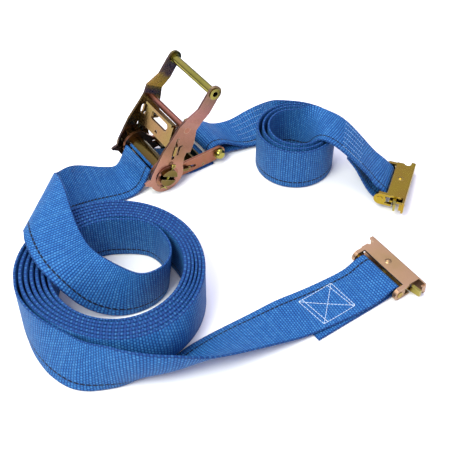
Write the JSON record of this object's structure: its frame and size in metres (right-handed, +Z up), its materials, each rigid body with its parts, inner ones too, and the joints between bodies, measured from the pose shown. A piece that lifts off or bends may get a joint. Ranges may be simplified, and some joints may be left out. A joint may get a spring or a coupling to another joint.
{
  "type": "ratchet tie down",
  "caption": "Ratchet tie down with blue webbing straps and logistic track fittings, laid out with both straps coiled.",
  "frame": {"origin": "middle of the laid-out set on the ground", "axes": "+X from the ratchet spindle towards the frame bolt, +Y along the spindle away from the fittings, +Z up"},
  "size_m": [0.446, 0.337, 0.1117],
  "materials": {
    "webbing": "woven polyester with a thin dark tracer line",
    "zinc_pink": "yellow zinc plating with a pink cast",
    "zinc_yellow": "yellow zinc plating, golden",
    "zinc_olive": "yellow zinc plating, olive",
    "spring_steel": "bare spring wire"
  },
  "bodies": {
    "frame": {"frame_plate_left": "zinc_pink", "frame_plate_right": "zinc_pink", "frame_bolt": "zinc_olive", "frame_bolt_nut": "zinc_olive", "frame_bolt_sleeve": "zinc_olive", "frame_spring_rest": "zinc_olive", "frame_pawl_spring": "spring_steel", "long_strap_feed": "webbing", "long_strap_coil": "webbing", "long_strap_front": "webbing", "long_strap_tail": "webbing", "short_strap_lead": "webbing", "short_strap_coil": "webbing", "short_strap_end": "webbing", "long_strap_fitting": "zinc_pink", "long_strap_fitting_strap_bar": "zinc_olive", "long_strap_fitting_latch_rivet": "zinc_olive", "long_strap_fitting_latch_spring": "spring_steel", "short_strap_fitting": "zinc_yellow", "short_strap_fitting_strap_bar": "zinc_yellow", "short_strap_fitting_latch_rivet": "zinc_yellow", "short_strap_fitting_latch_spring": "zinc_yellow"},
    "spindle": {"spindle_bar_upper": "zinc_olive", "spindle_bar_lower": "zinc_olive", "ratchet_wheel_left": "zinc_olive", "ratchet_wheel_right": "zinc_olive", "spindle_cotter_pins": "zinc_olive", "spindle_washers": "zinc_olive", "long_strap_in_spindle": "webbing"},
    "handle": {"handle_plate_left": "zinc_pink", "handle_plate_right": "zinc_pink", "handle_grip": "zinc_yellow", "handle_crossbar": "zinc_yellow", "handle_pawl_springs": "spring_steel"},
    "handle_pawl": {"handle_pawl": "zinc_pink"},
    "frame_pawl": {"frame_pawl": "zinc_pink"},
    "long_strap_latch": {"long_strap_fitting_latch": "zinc_olive"},
    "short_strap_latch": {"short_strap_fitting_latch": "zinc_yellow"}
  },
  "joints": [
    {"name": "spindle_turn", "type": "hinge", "parent": "frame", "child": "spindle", "pos_m": [-0.0112, 0.128, 0.0205], "axis": [0, 1, 0], "continuous": true},
    {"name": "handle_swing", "type": "hinge", "parent": "frame", "child": "handle", "pos_m": [-0.0112, 0.128, 0.0205], "axis": [0, -1, 0], "range_deg": [-54, 96]},
    {"name": "handle_pawl_slide", "type": "slide", "parent": "handle", "child": "handle_pawl", "axis": [0.3584, 0, 0.9336], "range_m": [-0.0035, 0.004], "stiffness_N_per_m": 900, "deforming": ["handle_pawl_springs"]},
    {"name": "frame_pawl_slide", "type": "slide", "parent": "frame", "child": "frame_pawl", "axis": [0.9659, 0, -0.2588], "range_m": [-0.0035, 0.004], "stiffness_N_per_m": 700, "deforming": ["frame_pawl_spring"]},
    {"name": "long_strap_latch_turn", "type": "hinge", "parent": "frame", "child": "long_strap_latch", "pos_m": [0.1033, -0.1245, 0.004], "axis": [0, 0, 1], "range_deg": [-8, 3], "stiffness_Nm_per_rad": 0.05, "deforming": ["long_strap_fitting_latch_spring"]},
    {"name": "short_strap_latch_turn", "type": "hinge", "parent": "frame", "child": "short_strap_latch", "pos_m": [0.18882, -0.04918, 0.00805], "axis": [0.0986, 0.0716, 0.9925], "range_deg": [-8, 3], "stiffness_Nm_per_rad": 0.05, "deforming": ["short_strap_fitting_latch_spring"]}
  ]
}
